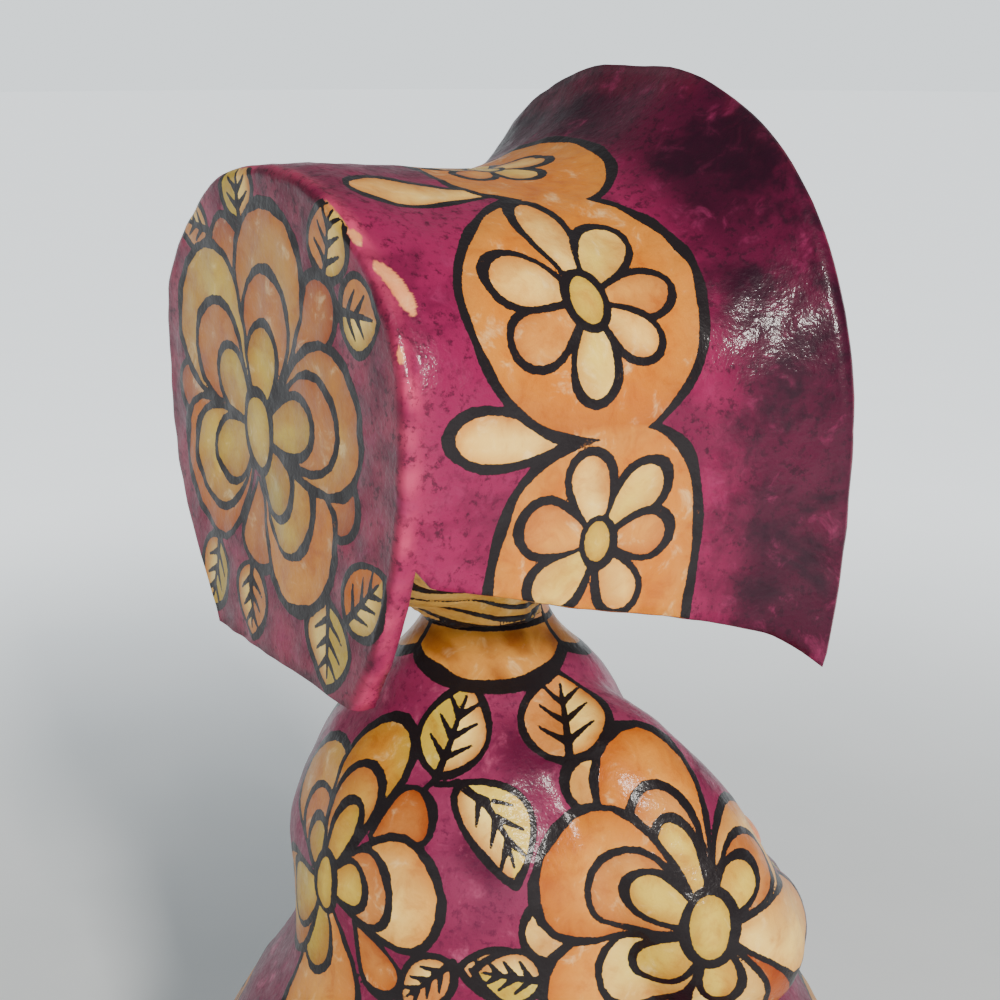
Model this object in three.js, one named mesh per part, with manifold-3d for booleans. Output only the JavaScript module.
// Painted papier-mache figure of a woman in a deep card bonnet, standing on a low round base.
// Millimetres, +Z up. The figure looks along -Y and the middle of the base's underside is the origin.
import * as THREE from "three";
import { mergeVertices } from "three/addons/utils/BufferGeometryUtils.js";
import Module from "manifold-3d";

const wasm = await Module();
wasm.setup();

// Base and skirt
const BASE_RADIUS = 110;
const BASE_HEIGHT = 9;
const BASE_EDGE = 2.5;
const HEM_RADIUS = 107;
const WAIST_Z = 143;
const SKIRT_SIDES = 48;

// Neck and shoulders
const NECK_Z = 229;
const NECK_Y = 12;
const BODY_SIDES = 32;

// Arms
const SHOULDER = [38, -0.5, 196.5];
const ELBOW = [59, -22, 157];
const WRIST = [16, -62, 147];
const ARM_SIDES = 14;

// Head and hair
const CHIN_Z = 239;
const HEAD_SIDES = 24;
const HAIR_CENTRE = [0, 31, 297];
const HAIR_RADII = [52, 43, 55];

// Bonnet, with heights above the collar and depths behind the neck
const CARD = 3;
const FIT_GAP = 0.35;
const PANEL_Y = 62.5;
const PANEL_BOTTOM = 4;
const PANEL_ROUNDING = 4;
const STRIP = 1.5;
const BRIM_LEAN = 3;
const LEAN_FROM = 10;
const LEAN_OVER = 36;

const vec = (x, y, z) => new THREE.Vector3(x, y, z);
const lerp = (a, b, t) => a + (b - a) * t;

// Value at x of a smooth curve through rows of [x, value], rows in rising order of x.
function curve(rows, x, column = 1) {
  const last = rows.length - 1;
  if (x <= rows[0][0]) return rows[0][column];
  if (x >= rows[last][0]) return rows[last][column];
  let i = 0;
  while (x > rows[i + 1][0]) i++;
  const slope = (a, b) => (rows[b][column] - rows[a][column]) / (rows[b][0] - rows[a][0]);
  const width = rows[i + 1][0] - rows[i][0];
  const s0 = slope(Math.max(i - 1, 0), i + 1);
  const s1 = slope(i, Math.min(i + 2, last));
  const t = (x - rows[i][0]) / width;
  const t2 = t * t;
  const t3 = t2 * t;
  return (
    (2 * t3 - 3 * t2 + 1) * rows[i][column] +
    (t3 - 2 * t2 + t) * width * s0 +
    (3 * t2 - 2 * t3) * rows[i + 1][column] +
    (t3 - t2) * width * s1
  );
}

// Geometry from corner triples, each face listed counter-clockwise from outside.
function geometryOf(triangles) {
  const numbers = triangles.flatMap((t) => t.flatMap((p) => [p.x, p.y, p.z]));
  const made = new THREE.BufferGeometry();
  made.setAttribute("position", new THREE.Float32BufferAttribute(numbers, 3));
  return made;
}

function solid(geometry) {
  const bare = geometry.clone();
  bare.deleteAttribute("normal");
  bare.deleteAttribute("uv");
  const merged = mergeVertices(bare, 1e-4);
  return new wasm.Manifold(
    new wasm.Mesh({
      numProp: 3,
      vertProperties: merged.attributes.position.array,
      triVerts: new Uint32Array(merged.index.array),
    }),
  );
}

function joined(parts) {
  return parts.reduce((sum, next) => sum.add(next));
}

// Closed skin over rings of equal count, counter-clockwise seen from the last ring's end.
function skin(rings) {
  const triangles = [];
  const count = rings[0].length;
  for (let r = 0; r + 1 < rings.length; r++) {
    for (let k = 0; k < count; k++) {
      const n = (k + 1) % count;
      const [a, b] = [rings[r][k], rings[r][n]];
      const [c, d] = [rings[r + 1][k], rings[r + 1][n]];
      triangles.push([a, b, d], [a, d, c]);
    }
  }
  for (const [ring, flip] of [[rings[0], true], [rings[rings.length - 1], false]]) {
    const middle = ring.reduce((sum, p) => sum.add(p), vec(0, 0, 0)).divideScalar(count);
    for (let k = 0; k < count; k++) {
      const n = (k + 1) % count;
      triangles.push(flip ? [middle, ring[n], ring[k]] : [middle, ring[k], ring[n]]);
    }
  }
  return geometryOf(triangles);
}

// Level ring with its own half-width, front and back reach.
function levelRing(z, halfWidth, front, back, sides, fullness = 2) {
  const ring = [];
  const middle = (front + back) / 2;
  const depth = (back - front) / 2;
  for (let k = 0; k < sides; k++) {
    const a = (2 * Math.PI * (k + 0.5)) / sides;
    const bend = (v) => Math.sign(v) * Math.abs(v) ** (2 / fullness);
    ring.push(vec(halfWidth * bend(Math.cos(a)), middle + depth * bend(Math.sin(a)), z));
  }
  return ring;
}

// Round limb through points [x, y, z, radius] with domed ends, its rings carried on untwisted.
function limb(points, sides) {
  const rings = [];
  const across = vec(0, 0, 0);
  const places = points.map((p) => vec(p[0], p[1], p[2]));
  places.forEach((place, i) => {
    const before = places[Math.max(i - 1, 0)];
    const after = places[Math.min(i + 1, places.length - 1)];
    const along = after.clone().sub(before).normalize();
    if (i === 0) across.set(0, 0, 1).cross(along);
    across.addScaledVector(along, -across.dot(along)).normalize();
    const over = along.clone().cross(across);
    const atEnd = i === 0 || i === places.length - 1;
    const dome = i === 0 ? [[-0.8, 0.6], [0, 1]] : [[0, 1], [0.8, 0.6]];
    for (const [shift, size] of atEnd ? dome : [[0, 1]]) {
      const radius = points[i][3] * size;
      const middle = place.clone().addScaledVector(along, shift * points[i][3]);
      rings.push(
        Array.from({ length: sides }, (_, k) => {
          const a = (2 * Math.PI * k) / sides;
          return middle
            .clone()
            .addScaledVector(across, radius * Math.cos(a))
            .addScaledVector(over, radius * Math.sin(a));
        }),
      );
    }
  });
  return skin(rings);
}

// Ball stretched to three radii.
function ellipsoid(centre, radii, sides, rows) {
  const ball = new THREE.SphereGeometry(1, sides, rows);
  ball.rotateX(Math.PI / 2);
  ball.scale(...radii);
  ball.translate(...centre);
  return ball;
}

// Low base: a turned disc with an eased top edge.
function makeBase() {
  const profile = [
    [0, 0],
    [BASE_RADIUS, 0],
    [BASE_RADIUS, BASE_HEIGHT - BASE_EDGE],
    [BASE_RADIUS - 0.8, BASE_HEIGHT - 0.8],
    [BASE_RADIUS - BASE_EDGE, BASE_HEIGHT],
    [0, BASE_HEIGHT],
  ].map(([r, z]) => new THREE.Vector2(r, z));
  return new THREE.LatheGeometry(profile, SKIRT_SIDES).rotateX(Math.PI / 2);
}

// Dress: bell skirt, waist, bodice, sloping shoulders and neck in one skin.
// Each row is height, half-width, front reach and back reach.
const DRESS = [
  [6, HEM_RADIUS, -HEM_RADIUS, HEM_RADIUS],
  [14, HEM_RADIUS, -HEM_RADIUS, HEM_RADIUS],
  [38, 105, -105, 104.5],
  [64, 101, -101, 100],
  [88, 95, -96, 94],
  [108, 86, -89, 87],
  [123, 77, -80, 79],
  [133, 69, -71, 72],
  [WAIST_Z, 62, -62, 66.5],
  [155, 60, -57, 66],
  [174, 59, -48, 65.5],
  [191, 54, -37, 61],
  [205, 45, -27, 53.5],
  [214, 37, -23, 46],
  [223, 29, -17, 39],
  [229, 22.5, -11, 34],
  [235, 18, -6.5, 29.5],
  [241, 15.5, -3.5, 27.5],
  [250, 15, -3, 27],
];

function makeDress() {
  const heights = [6, 20, 50, 80, 100, 115, 126, 135, 143, 155, 174, 191, 205, 214, 223, 229, 235, 241, 250];
  return skin(
    heights.map((z) =>
      levelRing(z, curve(DRESS, z, 1), curve(DRESS, z, 2), curve(DRESS, z, 3), BODY_SIDES),
    ),
  );
}

// Full sleeve from the shoulder over the bent elbow to the gathered wrist, on side s.
function makeSleeve(s) {
  const points = [
    [s * (SHOULDER[0] - 14), SHOULDER[1] + 5, SHOULDER[2] + 8, 19],
    [s * SHOULDER[0], SHOULDER[1], SHOULDER[2], 22.3],
    [s * 51, -12, 176, 24],
    [s * ELBOW[0], ELBOW[1], ELBOW[2], 23],
    [s * (ELBOW[0] - 9), ELBOW[1] - 14, ELBOW[2] - 7, 20],
    [s * 33, -50, 148, 16],
    [s * WRIST[0], WRIST[1], WRIST[2], 10.5],
  ];
  return limb(points, ARM_SIDES);
}

// Two folded hands: the right laid over the left, its fingers side by side.
const FINGERS = [
  // end along the hand, height, thickness
  [20.5, 155.4, 2.7],
  [22, 150.6, 2.9],
  [21, 145.8, 2.8],
  [18.5, 141.4, 2.5],
];

function makeHands() {
  const over = ellipsoid([-3, -71.5, 150.5], [14, 7.5, 8.5], 12, 8);
  const under = ellipsoid([8, -69.5, 148.5], [14, 7.5, 9.5], 12, 8);
  const fingers = FINGERS.map(([end, height, thick]) =>
    limb(
      [
        [-4, -74.5, height - 0.6, thick],
        [5, -76.6, height, thick],
        [13, -75.2, height - 0.6, thick],
        [end, -69, height - 1.8, thick * 0.8],
      ],
      8,
    ),
  );
  return [over, under, ...fingers].map(solid);
}

// Head: rows of height, half-width, front reach and back reach.
const HEAD = [
  [CHIN_Z, 8, -11, 20],
  [CHIN_Z + 3.5, 14.5, -16.5, 32],
  [CHIN_Z + 10, 21.5, -20, 42],
  [CHIN_Z + 20, 27.5, -21.5, 48],
  [CHIN_Z + 33, 31.5, -22.5, 52],
  [CHIN_Z + 46, 33.5, -21.5, 54],
  [CHIN_Z + 60, 34, -20.5, 55],
  [CHIN_Z + 74, 32, -17, 53],
  [CHIN_Z + 85, 28, -11, 48],
  [CHIN_Z + 93, 20.5, -3, 40],
  [CHIN_Z + 98, 9, 8, 28],
];

function makeHead() {
  const head = solid(
    skin(HEAD.map(([z, w, front, back]) => levelRing(z, w, front, back, HEAD_SIDES))),
  );
  const nose = [
    [CHIN_Z + 27, 2.2, -24, -14],
    [CHIN_Z + 29, 4.8, -28, -14],
    [CHIN_Z + 32, 4.6, -29.5, -14],
    [CHIN_Z + 40, 2.6, -25.5, -14],
    [CHIN_Z + 51, 2.4, -22.4, -14],
  ];
  return [head, solid(skin(nose.map(([z, w, f, b]) => levelRing(z, w, f, b, 8))))];
}

// Half-outline of the bonnet at a depth behind the neck: widest half-width and its height,
// top height, and half-width and height where the side ends.
const BONNET = [
  // depth, half-width, widest at, top, half-width at the end, end height
  [-46, 91, 68, 150.5, 84.5, 7],
  [-40, 86.5, 69, 144, 82, 12],
  [-32, 81.5, 70, 136.5, 79, 17],
  [-20, 76.5, 72, 129, 75.5, 21],
  [-6, 73, 74, 126, 72.5, 24.5],
  [12, 70.5, 76, 126, 69.5, 28.5],
  [35, 69, 77, 127.5, 66.5, 34],
  [54, 68, 78, 129.5, 64, 39],
  [62.5, 67, 78, 129.5, 63, 43],
];
const FLAP_HALF_WIDTH = 41;
const FLAP_ROWS = 3;
const SIDE_ROWS = 4;
const ARCH_ROWS = 10;
const LOWER_BEND = 2.2;

const bonnetAt = (depth) => [1, 2, 3, 4, 5].map((c) => curve(BONNET, depth, c));

// Point on the right half of the outline: row 0 is the flap's corner and the last row is the top.
function outlinePoint(depth, row, inset) {
  const [wide, wideZ, top, endWide, endZ] = bonnetAt(depth);
  if (row <= FLAP_ROWS + SIDE_ROWS) {
    const panel = bonnetAt(PANEL_Y);
    const inFlap = row < FLAP_ROWS;
    const z = inFlap
      ? lerp(PANEL_BOTTOM, panel[4], row / FLAP_ROWS)
      : lerp(endZ, wideZ, (row - FLAP_ROWS) / SIDE_ROWS);
    const fall = (wideZ - z) / (wideZ - (inFlap ? PANEL_BOTTOM : endZ));
    const foot = inFlap ? FLAP_HALF_WIDTH : endWide;
    const x = wide - (wide - foot) * fall ** LOWER_BEND;
    return [x - inset, z];
  }
  const a = (Math.PI / 2) * ((row - FLAP_ROWS - SIDE_ROWS) / ARCH_ROWS);
  return [(wide - inset) * Math.cos(a), wideZ + (top - wideZ - inset) * Math.sin(a)];
}

// The flat back follows one horseshoe from the flap's corner to the top.
function panelPoint(row, inset) {
  const [wide, wideZ] = bonnetAt(PANEL_Y);
  const [, z] = outlinePoint(PANEL_Y, row, inset);
  if (row > FLAP_ROWS + SIDE_ROWS) return outlinePoint(PANEL_Y, row, inset);
  const fall = (wideZ - z) / (wideZ - PANEL_BOTTOM);
  return [wide - (wide - FLAP_HALF_WIDTH) * Math.max(0, fall) ** LOWER_BEND - inset, z];
}

// The brim sits a little askew: its right half is pushed up and its left half down.
function brimLean(depth, arch) {
  const share = Math.min(Math.max((-LEAN_FROM - depth) / LEAN_OVER, 0), 1);
  return BRIM_LEAN * share * Math.sin(Math.PI * Math.max(arch, 0));
}

// Formed card bonnet: flat horseshoe back, tunnel crown and flaring brim, one sheet of even thickness.
function makeBonnet() {
  const rows = FLAP_ROWS + SIDE_ROWS + ARCH_ROWS;
  const columns = [];
  for (const s of [0, 0.5]) {
    columns.push((row) => {
      const [x, z] = panelPoint(row, PANEL_ROUNDING);
      const [, wideZ] = bonnetAt(PANEL_Y);
      return row <= FLAP_ROWS + SIDE_ROWS ? [x * s, PANEL_Y, z] : [x * s, PANEL_Y, lerp(wideZ, z, s)];
    });
  }
  for (const a of [0, 0.5, 1]) {
    const turn = (a * Math.PI) / 2;
    columns.push((row) => {
      const [x, z] = panelPoint(row, PANEL_ROUNDING * (1 - Math.sin(turn)));
      return [x, PANEL_Y - PANEL_ROUNDING * (1 - Math.cos(turn)), z];
    });
  }
  const stripColumn = columns.length;
  columns.push((row) => {
    const [x, z] = panelPoint(row, 0);
    return [x, PANEL_Y - PANEL_ROUNDING - STRIP, z];
  });
  for (const depth of [48, 30, 8, -8, -20, -32, -40, -46]) {
    columns.push((row) => {
      const [x, z] = outlinePoint(depth, Math.max(row, FLAP_ROWS), 0);
      return [x, depth, z];
    });
  }
  const at = (column, row) => {
    const side = row <= rows ? 1 : -1;
    const step = row <= rows ? row : 2 * rows - row;
    const [x, y, z] = columns[column](step);
    const lean = side * brimLean(y, (step - FLAP_ROWS - SIDE_ROWS) / ARCH_ROWS);
    return vec(side * x, y + NECK_Y, z + NECK_Z - lean);
  };
  const quads = [];
  for (let c = 0; c + 1 < columns.length; c++) {
    for (let r = 0; r < 2 * rows; r++) {
      const inFlap = r < FLAP_ROWS || r >= 2 * rows - FLAP_ROWS;
      if (inFlap && c >= stripColumn) continue;
      quads.push([[c, r], [c + 1, r], [c + 1, r + 1], [c, r + 1]]);
    }
  }
  return thicken(quads, at, CARD);
}

// Gives a sheet of quads an even thickness inwards and closes its edges.
function thicken(quads, at, thickness) {
  const points = new Map();
  const keyOf = (p) => [p.x, p.y, p.z].map((v) => Math.round(v * 1000)).join(" ");
  const corner = (cell) => {
    const p = at(...cell);
    const key = keyOf(p);
    if (!points.has(key)) points.set(key, { outer: p, normal: vec(0, 0, 0) });
    return key;
  };
  const faces = [];
  for (const quad of quads) {
    const keys = quad.map(corner).filter((key, i, all) => all.indexOf(key) === i);
    for (let i = 1; i + 1 < keys.length; i++) faces.push([keys[0], keys[i], keys[i + 1]]);
  }
  for (const face of faces) {
    const [a, b, c] = face.map((key) => points.get(key).outer);
    const normal = b.clone().sub(a).cross(c.clone().sub(a));
    for (const key of face) points.get(key).normal.add(normal);
  }
  for (const point of points.values()) {
    point.inner = point.outer.clone().addScaledVector(point.normal.normalize(), -thickness);
  }
  const edges = new Map();
  for (const face of faces) {
    face.forEach((key, i) => edges.set(key + "|" + face[(i + 1) % 3], [key, face[(i + 1) % 3]]));
  }
  const triangles = [];
  for (const face of faces) {
    const [a, b, c] = face.map((key) => points.get(key));
    triangles.push([a.outer, b.outer, c.outer], [a.inner, c.inner, b.inner]);
  }
  for (const [a, b] of edges.values()) {
    if (edges.has(b + "|" + a)) continue;
    const [p, q] = [points.get(a), points.get(b)];
    triangles.push([p.outer, p.inner, q.inner], [p.outer, q.inner, q.outer]);
  }
  return geometryOf(triangles);
}

// Room inside the bonnet that the hair may fill.
function makeHairRoom() {
  const rings = [-30, -20, -10, 5, 20, 40, PANEL_Y - CARD - FIT_GAP].map((depth) => {
    const [wide, wideZ, top] = bonnetAt(depth);
    const inset = CARD + 1.2 + (depth > 50 ? 2 : 0);
    return Array.from({ length: HEAD_SIDES + 12 }, (_, k) => {
      const a = (-2 * Math.PI * k) / (HEAD_SIDES + 12);
      const reach = Math.sin(a) > 0 ? top - wideZ - inset : wideZ + 20;
      return vec(
        (wide - inset) * Math.cos(a),
        depth + NECK_Y,
        NECK_Z + wideZ + reach * Math.sin(a),
      );
    });
  });
  return solid(skin(rings));
}

// Hair: a full dressed mass that fills the bonnet, drawn in round the nape, with two rolls
// beside the parting.
const NAPE = [
  // height, half-width, front and back
  [236.6, 19.4, -2.5, 31.5],
  [242, 21, -1.5, 36],
  [250, 25, 2, 44],
  [260, 31, 6, 54],
  [272, 36, 10, 60],
];

function makeHair() {
  const nape = solid(skin(NAPE.map(([z, w, front, back]) => levelRing(z, w, front, back, HEAD_SIDES))));
  const mass = solid(ellipsoid(HAIR_CENTRE, HAIR_RADII, HEAD_SIDES, 16));
  const rolls = [1, -1].map((s) =>
    solid(
      limb(
        [
          [s * 3, 4, 335, 7],
          [s * 17, -3, 329, 8.5],
          [s * 29, -2, 313, 9],
          [s * 36, 2, 294, 9.5],
          [s * 36, 10, 275, 9],
          [s * 30, 22, 258, 8],
        ],
        10,
      ),
    ),
  );
  return joined([mass, nape, ...rolls]).intersect(makeHairRoom());
}

function makeFigure() {
  return joined([
    solid(makeBase()),
    solid(makeDress()),
    solid(makeSleeve(1)),
    solid(makeSleeve(-1)),
    ...makeHands(),
    ...makeHead(),
    makeHair(),
  ]);
}

function meshOf(body, name, colour) {
  const cut = body.getMesh();
  const geometry = new THREE.BufferGeometry();
  const positions = new Float32Array(cut.numVert * 3);
  for (let i = 0; i < cut.numVert; i++) {
    positions.set(cut.vertProperties.subarray(i * cut.numProp, i * cut.numProp + 3), i * 3);
  }
  geometry.setAttribute("position", new THREE.BufferAttribute(positions, 3));
  geometry.setIndex(new THREE.BufferAttribute(new Uint32Array(cut.triVerts), 1));
  geometry.computeVertexNormals();
  const mesh = new THREE.Mesh(geometry, new THREE.MeshStandardMaterial({ color: colour, roughness: 0.35 }));
  mesh.name = name;
  return mesh;
}

const group = new THREE.Group();
group.add(meshOf(makeFigure(), "figure", 0xb04a6c));
group.add(meshOf(solid(makeBonnet()), "bonnet", 0x6d1f42));

export default group;
